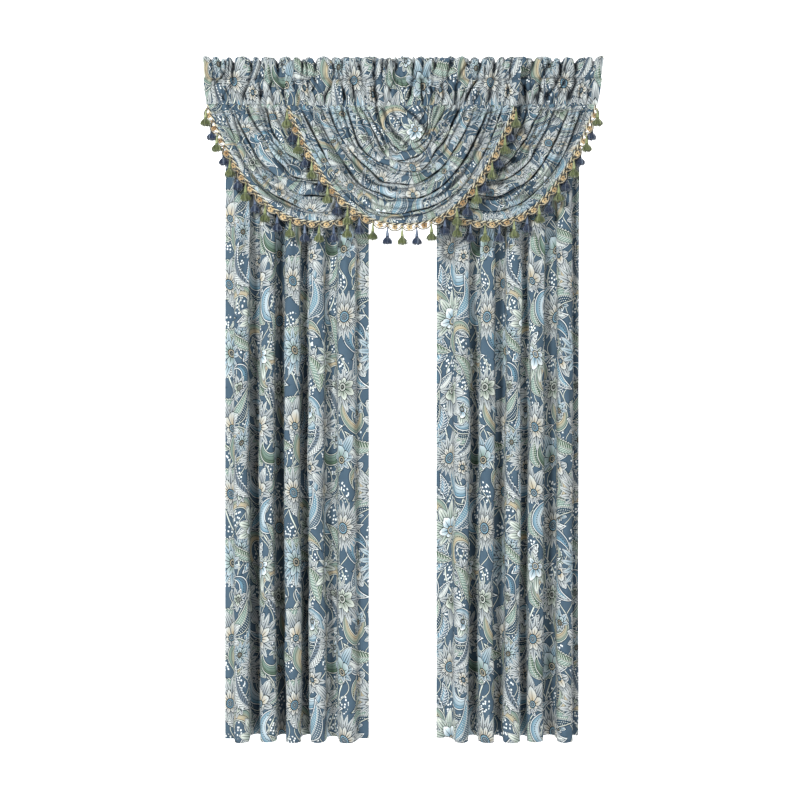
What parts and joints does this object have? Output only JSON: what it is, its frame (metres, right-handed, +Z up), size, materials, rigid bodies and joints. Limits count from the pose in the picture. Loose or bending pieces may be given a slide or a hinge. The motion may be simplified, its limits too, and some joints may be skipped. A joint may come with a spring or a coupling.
{
  "type": "room darkening curtain panels with swag valances",
  "caption": "Long printed curtains gathered on rod pockets, under overlapping swag valances edged with scalloped trim and tassels",
  "frame": {"origin": "the middle of the set's top edge, on the line that the long curtains hang from", "axes": "+X along the rods to the viewer's right, +Y from the front to the wall, +Z up"},
  "size_m": [1.2526, 0.169, 2.1378],
  "materials": {
    "printed_cloth": "matte woven cloth with a floral print",
    "trim": "soft twisted yarn, olive green, navy and cream"
  },
  "bodies": {
    "root": {"curtain_left": "printed_cloth", "curtain_left_heading": "printed_cloth", "curtain_right": "printed_cloth", "curtain_right_heading": "printed_cloth", "valance_left": "printed_cloth", "valance_left_heading": "printed_cloth", "valance_left_fringe": "trim", "valance_middle": "printed_cloth", "valance_middle_heading": "printed_cloth", "valance_middle_fringe": "trim", "valance_right": "printed_cloth", "valance_right_heading": "printed_cloth", "valance_right_fringe": "trim"}
  },
  "joints": []
}
